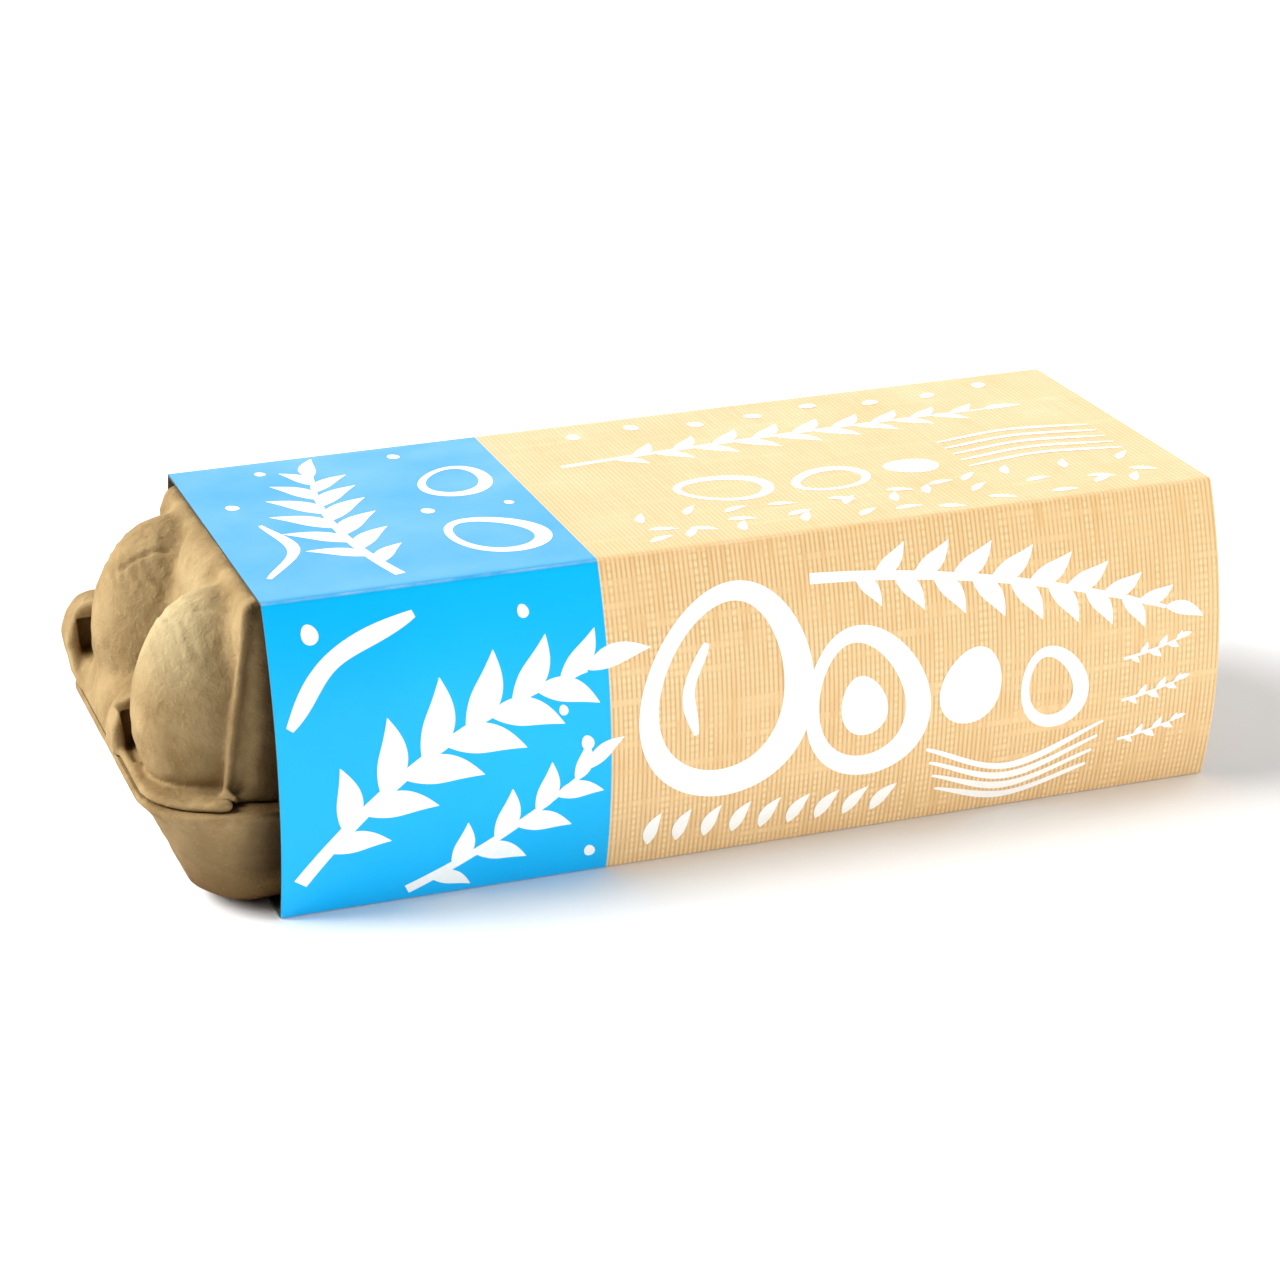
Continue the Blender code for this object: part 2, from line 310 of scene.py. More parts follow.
def lid_form(x, y, z):
    """Distance to the lid: leaning block, rim plate, end domes and hooded lobes, all blended.

    Both ends are alike, because every form reads |x|. Above z 30 the block's rear corners grow
    rounder, by up to 5.6 mm at z 58, and less again from there to z 64. The last number of each
    blend is its width in mm.
    """
    end = np.abs(x)
    half_x = np.interp(z, LID_WALLS[:, 0], LID_WALLS[:, 1])
    half_y = np.interp(z, LID_WALLS[:, 0], LID_WALLS[:, 2])
    corner = np.interp(z, LID_WALLS[:, 0], LID_WALLS[:, 3])
    rounder = np.clip((z - 30.0) / 5.0, 0.0, 6.0) - np.clip(z - 58.0, 0.0, 6.0)
    corner = corner + np.where(y > 0, rounder, 0.0)
    block = smooth_max(plan_distance(x, y, half_x, half_y, corner), z - ROOF_Z, 2.0)
    web = smooth_max(end - np.interp(z, WEB[:, 0], WEB[:, 1]), np.abs(y - WEB_Y) - WEB_HALF, 5.0)
    web = smooth_max(web, z - ROOF_Z, 4.0)
    form = smooth_min(block, web, 3.0)
    for (cx, cy, cz), radii in (FRONT_DOME, REAR_DOME):
        form = smooth_min(form, egg_distance(end - cx, y - cy, z - cz, radii, DOME_PINCH), 2.5)
    (foot, foot_x, foot_y), (top, top_x, top_y) = RIDGE
    rise = np.clip((z - foot) / (top - foot), 0.0, 1.0)
    off_x = end - foot_x - (top_x - foot_x) * rise
    off_y = np.abs(y) - foot_y - (top_y - foot_y) * rise
    inward = np.clip(-(off_x + off_y) / 2, 0.0, 6.0)
    ridge = np.hypot(off_x + inward, off_y + inward) - np.interp(rise, (0.0, 1.0), RIDGE_RADII)
    ridge_top = np.where(y > 0, REAR_RIDGE_TOP, top)
    form = smooth_min(form, smooth_max(ridge, z - ridge_top, 2.0), 1.5)
    (cx, cy, cz), reach, radii = SADDLE
    off_y = y - np.clip(y, cy, cy + reach)
    form = smooth_min(form, egg_distance(end - cx, off_y, z - cz, radii), 3.0)
    for (cx, cy, cz), reach, drop, radii, flat in LOBES:
        low = np.clip(cz - z, 0.0, drop)
        off_y = y - np.clip(y, cy, cy + reach)
        lobe = egg_distance(end - cx + 0.15 * low, off_y, z - cz + low, radii)
        lobe = smooth_max(lobe, flat - 0.3 * low - y, 1.6)
        form = smooth_min(form, lobe, 3.0)
    for (cx, cy, cz), radii in KNOBS:
        form = smooth_min(form, egg_distance(end - cx, y - cy, z - cz, radii), 1.8)
    plate = smooth_max(rim_distance(x, y, LID_RIM), z - SEAM_Z - LID_RIM_THICK, 1.2)
    notch = np.minimum(LIP_NOTCH[0] - end, np.abs(y) - LIP_NOTCH[1])
    plate = smooth_max(plate, notch, 1.5)
    form = smooth_min(form, plate, 1.6)
    (cx, cy, cz), radii = LIP_END
    form = smooth_min(form, egg_distance(end - cx, np.abs(y) - cy, z - cz, radii), 1.5)
    form = smooth_min(form, rod_distance(end, np.abs(y), z, *FOOT), 0.8)
    for heights, inner, outer, (front, back) in SLOTS:
        slot = np.maximum(np.interp(z, heights, inner) - end, end - np.interp(z, heights, outer))
        slot = smooth_max(slot, np.abs(z - np.mean(heights)) - np.ptp(heights) / 2, 1.0)
        slot = smooth_max(slot, np.abs(y - (front + back) / 2) - (back - front) / 2, 1.0)
        form = smooth_max(form, -slot, 0.9)
    return smooth_max(form, SEAM_Z + SEAM_GAP_HALF - z, 0.3)


def tray_form(x, y, z):
    """Distance to the tray: flared skirt under the rim, blended with ten tapered cups.

    A cup is a round-cornered square whose half width is averaged over 4 mm of height.
    """
    skirt = rim_distance(x, y, TRAY_RIM) + np.interp(z, SKIRT[:, 0], SKIRT[:, 1])
    skirt = smooth_max(skirt, SKIRT[0, 0] - z, 3.0)
    heights = [z + off for off in (-2, -1, 0, 1, 2)]
    half = np.mean([np.interp(height, CUPS[:, 0], CUPS[:, 1]) for height in heights], axis=0)
    corner = np.interp(z, CUPS[:, 0], CUPS[:, 2])
    cell_x = x - CELL_PITCH * np.clip(np.round(x / CELL_PITCH), -LAST_CELL, LAST_CELL)
    front = plan_distance(cell_x, y + CUP_CENTRE_Y, half, half, corner)
    rear = plan_distance(cell_x, y - CUP_CENTRE_Y, half, half, corner)
    cups = smooth_max(smooth_min(front, rear, 4.0), CUP_BOTTOM - z, 2.0)
    return smooth_max(smooth_min(skirt, cups, 5.0), z - SEAM_Z + SEAM_GAP_HALF, 0.5)


def skin(form, lines):
    """Closed skin of a form over a grid of three lines: its points and quads.

    Each grid cell that the surface passes has one point, the mean of the places where the surface
    crosses the cell's edges. Each crossed edge has one quad, between the four cells round it.
    """
    value = form(*np.meshgrid(*lines, indexing="ij"))
    crossings, cells = [], []
    for axis in range(3):
        low = np.delete(value, -1, axis)
        high = np.delete(value, 0, axis)
        at = np.argwhere((low < 0) != (high < 0))
        a, b = low[tuple(at.T)], high[tuple(at.T)]
        place = np.stack([line[at[:, n]] for n, line in enumerate(lines)], 1)
        gap = np.diff(lines[axis])[at[:, axis]]
        place[:, axis] += gap * a / (a - b)
        second, third = np.eye(3, dtype=int)[[(axis + 1) % 3, (axis + 2) % 3]]
        ring = at[:, None] - np.stack((0 * second, second, second + third, third))
        ring[a > 0] = ring[a > 0][:, ::-1]
        crossings.append(np.repeat(place, 4, 0))
        cells.append(np.ravel_multi_index(ring.reshape(-1, 3).T, value.shape))
    crossings, cells = np.concatenate(crossings), np.concatenate(cells)
    _, number, count = np.unique(cells, return_inverse=True, return_counts=True)
    sums = [np.bincount(number, crossings[:, n]) for n in range(3)]
    return np.stack(sums) / count, number.reshape(-1, 4)


def slope(form, point):
    """Gradient of a form at points, from its values 0.05 mm to both sides."""
    offsets = 0.05 * np.eye(3)[:, :, None]
    return np.stack([form(*(point + off)) - form(*(point - off)) for off in offsets]) / 0.1


def settle(form, point, turns=4):
    """Move points onto a form's surface, along its gradient, by at most 0.3 mm in a turn.

    Each move is the form's value over its steepness squared, times the gradient.
    """
    for _ in range(turns):
        way = slope(form, point)
        move = form(*point) / np.maximum((way**2).sum(0), 0.25)
        point = point - way * np.clip(move, -0.3, 0.3)
    return point


def sines(point, size, seed, count=14):
    """Smooth noise of about -1 to 1, from sine waves of about that size in random directions.

    It is the waves' sum over the root of their count.
    """
    rng = np.random.default_rng(seed)
    total = np.zeros(point.shape[1:])
    for _ in range(count):
        way = rng.normal(size=3)
        way *= 2 * np.pi * rng.uniform(0.6, 1.5) / (size * np.linalg.norm(way))
        total += np.sin(np.tensordot(way, point, 1) + rng.uniform(0, 2 * np.pi))
    return total / math.sqrt(count)


def grid_faces(rows, columns):
    """Quads of a grid that is closed round its columns, as an array of vertex numbers."""
    row, column = np.meshgrid(np.arange(rows - 1), np.arange(columns), indexing="ij")
    beside = (column + 1) % columns
    corners = (
        row * columns + column,
        row * columns + beside,
        (row + 1) * columns + beside,
        (row + 1) * columns + column,
    )
    return np.stack(corners, -1).reshape(-1, 4)


def new_object(name, points, faces, closed=True):
    """Object in metres from millimetre points and faces, which point out if it is closed."""
    mesh = bpy.data.meshes.new(name)
    mesh.from_pydata((np.asarray(points) * MM).tolist(), [], np.asarray(faces).tolist())
    if closed:
        shape = bmesh.new()
        shape.from_mesh(mesh)
        bmesh.ops.recalc_face_normals(shape, faces=shape.faces)
        shape.to_mesh(mesh)
        shape.free()
    piece = bpy.data.objects.new(name, mesh)
    bpy.context.scene.collection.objects.link(piece)
    return piece


def finish_piece(piece, materials, node=None):
    """Shade a piece smooth but for sharp edges, give it materials, and let it ride on the body."""
    piece.data.shade_smooth()
    piece.data.set_sharp_from_angle(angle=math.radians(SHARP_ANGLE))
    for material in materials:
        piece.data.materials.append(material)
    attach(piece, "root")
    if node:
        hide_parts(node)


def relief(point, seed):
    """Depth of the pulp's relief in mm: waves 17 mm long from drying, and 5 mm lumps of fibre."""
    return 0.14 * sines(point, 17.0, seed) + 0.06 * sines(point, 5.0, seed + 1)


def lid_relief(point, seed):
    """The pulp's relief, with ripples over the domes' crowns and single wrinkles there.

    The ripples are sines of the distance from the dome's middle, 2 mm apart. A wrinkle is a
    groove with raised sides along its line, (1 - 0.7 d^2) exp(-d^2) at d widths off it.
    """
    x, y, z = np.abs(point[0]), point[1], point[2]
    total = relief(point, seed)
    crown = np.clip((z - 52.0) / 6.0, 0, 1) * np.clip((x - 99.5) / 3.0, 0, 1)
    middle_y = np.where(y < 0, FRONT_DOME[0][1], REAR_DOME[0][1])
    off_middle = np.hypot(1.4 * (y - middle_y), z - FRONT_DOME[0][2])
    ripple = np.sin(2 * np.pi * off_middle / 2.0 + 1.6 * sines(point, 14.0, seed + 2))
    patchy = np.clip(0.6 + sines(point, 8.0, seed + 4), 0, 1)
    total = total + 0.14 * crown * patchy * ripple
    waver = 0.15 * sines(point, 7.0, seed + 3)
    y, z = y + waver, z + waver
    for places, depth, width in WRINKLES:
        line = smooth_line(places, 0.5)
        off = np.min([(x - a) ** 2 + (y - b) ** 2 + (z - c) ** 2 for a, b, c in line], axis=0)
        total = total - depth * (1 - 0.7 * off / width**2) * np.exp(-off / width**2)
    return total


def end_lines(fine, coarse, low, high):
    """Three grid lines for a shell: fine near both ends, and twice as fine near the seam."""
    left = np.arange(-GRID_X, -GRID_END_X, fine)
    middle = np.arange(-GRID_END_X, GRID_END_X, coarse)
    right = np.arange(GRID_END_X, GRID_X, fine)
    heights = np.arange(low, high, 0.05)
    pace = np.where(np.abs(heights - SEAM_Z) < SEAM_REACH, fine / 2, fine)
    steps_up = np.cumsum(0.05 / pace)
    return (
        np.concatenate((left, middle, right)),
        np.arange(-GRID_Y, GRID_Y, fine),
        np.interp(np.arange(0.0, steps_up[-1]), steps_up, heights),
    )


def make_shell(name, form, lines, depth, seed, material, node):
    """Pulp shell: the form's skin, settled on it, then moved along its gradient by the depth.

    The depth fades out within 3 mm of the seam, so that the lid and the tray don't meet.
    """
    point, faces = skin(form, lines)
    point = settle(form, point)
    way = slope(form, point)
    way /= np.linalg.norm(way, axis=0) + 1e-9
    away = np.clip((np.abs(point[2] - SEAM_Z) - 1.0) / 2.0, 0.0, 1.0)
    point = point + way * depth(point, seed) * away
    finish_piece(new_object(name, point.T, faces), [material], node)


def moulded_pulp(name, light, dark, low):
    """Moulded recycled pulp: matt grey-tan, mottled, with fine fibre lumps and stray flecks.

    The eye gets a dry, slightly furry clay-like skin. Painted shade darkens its colour to low near
    the floor, and to a dark brown in its hollows and where its sides go in under the board. A
    painted highlight makes the front domes' crowns paler. Real fibres are under 0.1 mm thick, too
    fine to show, so they are drawn as coarse as PULP_GRAINS says. Ramps over x, y and z are in
    metres.
    """
    material, tree = new_material(name)
    where = add_node(tree, "TexCoord")["Object"]
    axes = add_node(tree, "SeparateXYZ", {"Vector": where})
    end = add_node(tree, "Math", {0: axes["X"]}, operation="ABSOLUTE")[0]
    aside = add_node(tree, "Math", {0: axes["Y"]}, operation="ABSOLUTE")[0]
    grains = []
    for size, detail, roughness in PULP_GRAINS:
        noise = {"Vector": where, "Scale": 1 / (size * MM), "Detail": detail}
        grains.append(add_node(tree, "TexNoise", {**noise, "Roughness": roughness})["Fac"])
    mottle, lumps, fibre = grains
    # Painted shade: ambient occlusion, to darken hollows and places near other pieces.
    occlusion_shade = add_node(tree, "AmbientOcclusion", {"Distance": OCCLUSION_SHADE_REACH}, samples=8)["AO"]
    # Ramps of the front domes' crowns, which get a painted highlight
    crown = ((end, 0.1, 0.113), (axes["Z"], 0.047, 0.064), (axes["Y"], 0.018, -0.012))
    tone = add_layers(
        tree,
        dark,
        (
            (light, 1.0, (mottle, 0.3, 0.7)),
            # painted shade: darker towards the floor
            (low, 1.0, (axes["Z"], 0.025, 0.004)),
            # painted highlight: the front domes' crowns painted paler
            ("#CFBF94", 0.7, *crown),
            ("#CDB283", 0.4, (fibre, 0.6, 0.72)),
            ("#6A5231", 0.4, (fibre, 0.38, 0.28)),
            # painted shade in hollows, from ambient occlusion
            ("#664A24", 1.0, (occlusion_shade, 0.75, 0.08)),
            # painted shade where the sides go in under the board
            ("#38260F", 0.8, (end, 0.1065, 0.098), (aside, 0.0422, 0.0436)),
        ),
    )
    bump = {"Strength": 0.8, "Distance": 0.7 * MM, "Height": lumps}
    lumpy = add_node(tree, "Bump", bump)["Normal"]
    bump = {"Strength": 0.8, "Distance": 0.35 * MM, "Height": fibre, "Normal": lumpy}
    furry = add_node(tree, "Bump", bump)["Normal"]
    look = {"Base Color": tone, "Roughness": 0.95, "Specular IOR Level": 0.2, "Normal": furry}
    shader = add_node(tree, "BsdfPrincipled", look)["BSDF"]
    add_node(tree, "OutputMaterial", {"Surface": shader})
    return material


def board_profile():
    """Outer face of the board round the carton as y and z in mm, with the length along it.

    It starts at the free edge of the inner glue flap, rises over the rear side and the top, comes
    down the front side and ends at the bottom panel's rear edge. The sides bow as half plus
    4 bow t(1 - t), t up their height, and a moving average of 1.6 mm rounds the folds.
    """
    t = np.linspace(0, 1, 700)
    bottom, top = BOARD_INSET, SLEEVE_HEIGHT - BOARD_INSET
    flap_z = bottom + BOARD + BOARD_GAP
    bow = FOLD_HALF - BOARD_INSET + 4 * SIDE_BOW * t * (1 - t)
    y = np.concatenate(((FOLD_HALF - FLAP_WIDTH,), bow, -bow, (FOLD_HALF - PANEL_SHORT,)))
    z = np.concatenate(
        ((flap_z,), flap_z + (top - flap_z) * t, bottom + (top - bottom) * (1 - t), (bottom,))
    )
    length = np.concatenate(([0.0], np.cumsum(np.hypot(np.diff(y), np.diff(z)))))
    fine = np.linspace(0, length[-1], int(length[-1] / PROFILE_PACE))
    window = np.ones(FOLD_WINDOW) / FOLD_WINDOW
    lines = [np.pad(np.interp(fine, length, line), FOLD_WINDOW // 2, "edge") for line in (y, z)]
    y, z = (np.convolve(line, window, "valid")[: fine.size] for line in lines)
    return y, z, fine


# The profile with its outward normal, and how far along it the four folds are
PROFILE_Y, PROFILE_Z, PROFILE_S = board_profile()
NORMAL_Y = np.gradient(PROFILE_Z, PROFILE_S)
NORMAL_Z = -np.gradient(PROFILE_Y, PROFILE_S)
REAR_BOTTOM, REAR_TOP, FRONT_TOP, FRONT_BOTTOM = (
    PROFILE_S[np.argmin(np.hypot(PROFILE_Y - y, PROFILE_Z - z))]
    for y, z in (
        (FOLD_HALF, 0.6),
        (FOLD_HALF, SLEEVE_HEIGHT),
        (-FOLD_HALF, SLEEVE_HEIGHT),
        (-FOLD_HALF, 0.0),
    )
)


def on_board(x, s, lift):
    """Point over the board's outer face at x and length s, raised by lift along its normal."""
    ny = np.interp(s, PROFILE_S, NORMAL_Y)
    nz = np.interp(s, PROFILE_S, NORMAL_Z)
    y = np.interp(s, PROFILE_S, PROFILE_Y) + lift * ny
    z = np.interp(s, PROFILE_S, PROFILE_Z) + lift * nz
    return np.stack((x + 0 * s, y + 0 * x, z + 0 * x), -1)


def make_sleeve(materials):
    """Printed board tube: the profile and its inner face, carried along X, with cut ends closed.

    Rows lie 4 mm apart along X. Columns lie 2.4 mm apart where the board is flat, and in a fold
    there are up to five more to the millimetre. The UV map holds x and the length along the
    board, in metres.
    """
    bend = np.abs(np.gradient(np.unwrap(np.arctan2(NORMAL_Z, NORMAL_Y)), PROFILE_S))
    density = 1 / 2.4 + 5.0 * np.minimum(bend, 1.0)
    spread = np.concatenate(([0.0], np.cumsum(PROFILE_PACE * density)))
    count = int(spread[-1])
    s = np.interp(np.linspace(0, spread[-2], count), spread[:-1], PROFILE_S)
    x = np.linspace(SLEEVE_LEFT, SLEEVE_RIGHT, 54)
    outer = on_board(x[:, None], s[None, :], 0.0)
    inner = on_board(x[:, None], s[None, :], -BOARD)
    loop = np.concatenate((outer, inner[:, ::-1]), axis=1)
    faces = grid_faces(x.size, 2 * count)
    face_column = np.arange(len(faces)) % (2 * count)
    near = np.arange(count - 1)
    rung = np.stack((near, near + 1, 2 * count - 2 - near, 2 * count - 1 - near), 1)
    faces = np.concatenate((faces, rung, rung + (x.size - 1) * 2 * count))
    sleeve = new_object("sleeve_board", loop.reshape(-1, 3), faces)
    finish_piece(sleeve, materials, "sleeve")
    printed, plain, cut = range(3)
    part = np.full(len(faces), cut)
    part[: face_column.size][face_column < count - 1] = printed
    part[: face_column.size][(face_column >= count) & (face_column < 2 * count - 1)] = plain
    sleeve.data.polygons.foreach_set("material_index", part)
    corner = np.zeros(len(sleeve.data.loops), dtype=int)
    sleeve.data.loops.foreach_get("vertex_index", corner)
    place = np.stack(
        (np.repeat(x, 2 * count), np.tile(np.concatenate((s, s[::-1])), x.size)), 1
    )
    flat = sleeve.data.uv_layers.new(name="board")
    flat.data.foreach_set("uv", (place[corner] * MM).ravel())


def smooth_line(points, step=1.0):
    """Smooth curve through points, with a place about every step mm.

    Between two points it is a cubic, whose slope at a point is half the way from the point before
    to the one after. The ends go on straight.
    """
    points = np.asarray(points, float)
    count = 2 + int(np.linalg.norm(np.diff(points, axis=0), axis=1).sum() / step)
    t = np.linspace(0, len(points) - 1, count)
    part = np.minimum(t.astype(int), len(points) - 2)
    share = (t - part)[:, None]
    ends = (2 * points[:1] - points[1:2], points, 2 * points[-1:] - points[-2:-1])
    a, b, c, d = (np.concatenate(ends)[part + n] for n in range(4))
    bend = 2 * a - 5 * b + 4 * c - d + share * (3 * (b - c) + d - a)
    return b + share / 2 * (c - a + share * bend)


def stroke(points, width):
    """Brush stroke through points: a path and its half widths, swelling and thinning along it.

    The half width is half a wave of a sine along the path, to the power 0.45, with a 12% waver.
    """
    path = smooth_line(points)
    t = np.linspace(0, 1, len(path))
    body = np.clip(np.sin(np.pi * (0.04 + 0.92 * t)), 0, 1) ** 0.45
    return [(path, width / 2 * body * (1 + 0.12 * np.sin(9 * t + points[0][0])))]


def leaf(base, heading, length, width, bend=0.08):
    """Leaf from its base towards a heading in radians: pointed, widest before its middle.

    At the share t of its length its half width is half a wave of a sine over t^0.8, and it bows
    off the straight line by half a wave over t.
    """
    t = np.linspace(0, 1, 6 + int(length / 1.2))
    along = np.array((math.cos(heading), math.sin(heading)))
    across = np.array((-along[1], along[0]))
    path = base + length * (t[:, None] * along + bend * np.sin(np.pi * t)[:, None] * across)
    return [(path, 0.06 + width / 2 * np.sin(np.pi * t**0.8))]


def sprig(base, heading, length, curl, pairs, leaf_length, leaf_width, stem):
    """Leafy branch: a tapering stem that curls, with leaves in turns on its sides and at its tip.

    The stem's heading turns evenly by curl. The leaves are longest at its middle, by a sine, and
    lean less off it towards its tip.
    """
    t = np.linspace(0, 1, 8 + int(length / 1.5))
    turn = heading + curl * t
    paces = np.stack((np.cos(turn), np.sin(turn)), 1) * length / (len(t) - 1)
    path = base + np.cumsum(paces, 0) - paces[0]
    bands = [(path, stem / 2 * (1 - 0.65 * t))]
    for n in range(2 * pairs):
        at = 0.12 + 0.8 * n / (2 * pairs - 1)
        foot = np.array([np.interp(at, t, path[:, k]) for k in (0, 1)])
        side = 1 if n % 2 else -1
        size = 0.62 + 0.38 * math.sin(math.pi * at)
        way = heading + curl * at + side * (0.85 - 0.25 * at)
        bands += leaf(foot, way, leaf_length * size, leaf_width * size, -0.1 * side)
    return bands + leaf(path[-1], turn[-1], leaf_length * 0.8, leaf_width * 0.7)


def egg_outline(centre, width, height, tilt):
    """Closed egg curve round a centre, its blunt end down before the tilt, as places.

    It is an ellipse whose x is multiplied by 1 - 0.14 sin t at the angle t.
    """
    t = np.linspace(0, 2 * np.pi, 24 + int(width + height))
    x = width / 2 * np.cos(t) * (1 - 0.14 * np.sin(t))
    y = height / 2 * np.sin(t)
    c, s = math.cos(tilt), math.sin(tilt)
    return np.stack((centre[0] + c * x - s * y, centre[1] + s * x + c * y), 1)


def egg_ring(centre, width, height, tilt, line):
    """Egg drawn with a brush line whose width goes up and down by 35% once round it."""
    path = egg_outline(centre, width, height, tilt)
    t = np.linspace(0, 2 * np.pi, len(path))
    return [(path, line / 2 * (1 + 0.35 * np.cos(t + 0.6)))]


def egg_spot(centre, width, height, tilt):
    """Solid egg: a band along its height, whose half width is that of the egg curve."""
    t = np.sin(np.linspace(-1.52, 1.52, 10 + int(height)))
    c, s = math.cos(tilt), math.sin(tilt)
    path = np.stack((centre[0] - s * t * height / 2, centre[1] + c * t * height / 2), 1)
    return [(path, width / 2 * np.sqrt(1 - t**2) * (1 - 0.14 * t))]


def side_print():
    """Print of a long side, as bands at x and the height up from the bottom fold."""
    bands = sprig((-93.0, 9.0), 0.95, 76.0, -0.75, 6, 18.0, 6.6, 3.2)
    bands += sprig((-70.0, 3.0), 0.42, 46.0, 0.25, 4, 12.5, 4.8, 2.4)
    bands += stroke(((-94.0, 45.0), (-84.0, 58.0), (-66.0, 65.5)), 4.2)
    dots = ((-88, 64, 4.4), (-43, 63, 3.0), (-31, 33, 3.4), (-36, 41, 2.4), (-30, 6, 3.0))
    for x, y, size in dots:
        bands += egg_spot((x, y), size * 0.8, size, 0.3)
    bands += egg_ring((0.0, 40.0), 33.0, 43.0, -0.22, 5.4)
    bands += stroke(((-7.0, 31.0), (-8.5, 41.0), (-4.0, 51.0)), 2.8)
    bands += egg_ring((31.0, 33.0), 24.0, 31.0, 0.18, 4.4)
    bands += egg_spot((31.0, 32.0), 10.5, 14.0, 0.18)
    bands += sprig((20.0, 61.5), -0.05, 84.0, -0.3, 8, 12.0, 4.4, 2.4)
    bands += egg_spot((56.0, 33.0), 14.0, 18.0, -0.3)
    bands += egg_ring((75.0, 30.0), 13.0, 17.0, 0.25, 2.8)
    for n in range(4):
        low = 19.0 - 3.6 * n
        bands += stroke(((46.0 + n, low), (66.0, low - 7.5 + n), (88.0 - n, low + 0.5)), 1.7)
    for n in range(9):
        bands += leaf(np.array((-17.0 + 6.4 * n, 5.0)), 1.25 - 0.05 * n, 8.5, 3.0)
    for n in range(3):
        bands += sprig((92.0, 34.0 - 10.0 * n), 0.12, 14.0, 0.2, 3, 3.4, 1.5, 0.8)
    return bands


def top_print():
    """Print of the top, as bands at x and the distance back from the front fold."""
    bands = sprig((-66.0, 7.0), 1.85, 70.0, -0.5, 6, 17.0, 5.4, 2.4)
    bands += egg_ring((-41.0, 24.0), 17.0, 23.0, 0.5, 2.8)
    bands += egg_ring((-39.0, 62.0), 14.0, 19.0, -0.3, 2.4)
    bands += stroke(((-92.0, 14.0), (-83.0, 30.0), (-86.0, 48.0)), 2.6)
    dots = ((-50, 44, 3.6), (-32, 43, 2.6), (-89, 62, 3.6), (-78, 83, 3.0), (-47, 84, 3.4))
    for x, y, size in dots:
        bands += egg_spot((x, y), size * 0.8, size, 0.3)
    bands += sprig((-14.0, 62.0), 0.1, 104.0, -0.12, 9, 12.0, 3.8, 1.8)
    bands += egg_ring((14.0, 34.0), 15.0, 20.0, 1.2, 2.2)
    bands += egg_ring((38.0, 31.0), 13.0, 17.0, 1.9, 2.0)
    bands += egg_spot((58.0, 33.0), 9.5, 12.5, 1.3)
    for row in range(3):
        for n in range(11):
            x = -12.0 + 11.2 * n + 2.5 * math.sin(5.0 * n + row)
            y = 6.0 + 6.6 * row + 1.2 * math.sin(3.0 * n + 2 * row)
            way = 0.4 + 0.9 * math.sin(7.0 * n + 4.0 * row)
            bands += leaf(np.array((x, y)), way, 6.2, 2.0)
    for n in range(5):
        high = 4.6 * n
        bands += stroke(((70.0, 28.0 + high), (88.0, 31.0 + high), (107.0, 27.5 + high)), 1.5)
    for n in range(8):
        bands += egg_spot((-5.0 + 14.5 * n, 82.0 + 2.0 * math.sin(2.0 * n)), 3.2, 4.2, 0.4 * n)
    return bands


def make_print(ink):
    """White print: thin ink on the board, each band lifted a little more than the one before.

    A band is its path moved aside along its normal by -1 to 1 times its half width, with a place
    about every 1.8 mm across. A closed path has the same direction at both ends.
    """
    drawings = (
        (side_print(), FRONT_BOTTOM, -1),
        (side_print(), REAR_BOTTOM, 1),
        (top_print(), FRONT_TOP, -1),
    )
    points, faces, start = [], [], 0
    for bands, fold, way in drawings:
        for n, (path, half) in enumerate(bands):
            run = np.gradient(path, axis=0)
            if np.allclose(path[0], path[-1]):
                run[0] = run[-1] = path[1] - path[-2]
            run /= np.linalg.norm(run, axis=1)[:, None] + 1e-9
            across = np.linspace(-1, 1, 3 + int(half.max() / 0.9))
            aside = np.stack((-run[:, 1], run[:, 0]), 1)[:, None] * across[:, None]
            flat = path[:, None] + aside * half[:, None, None]
            lift = INK_LIFT + INK_STEP * n
            points.append(on_board(flat[..., 0], fold + way * flat[..., 1], lift).reshape(-1, 3))
            row, column = np.meshgrid(
                np.arange(len(path) - 1), np.arange(len(across) - 1), indexing="ij"
            )
            first = start + (row * len(across) + column).ravel()
            quad = np.stack((first, first + len(across), first + len(across) + 1, first + 1), 1)
            faces.append(quad[:, ::-way])
            start += len(path) * len(across)
    piece = new_object("white_print", np.concatenate(points), np.concatenate(faces), closed=False)
    finish_piece(piece, [ink])


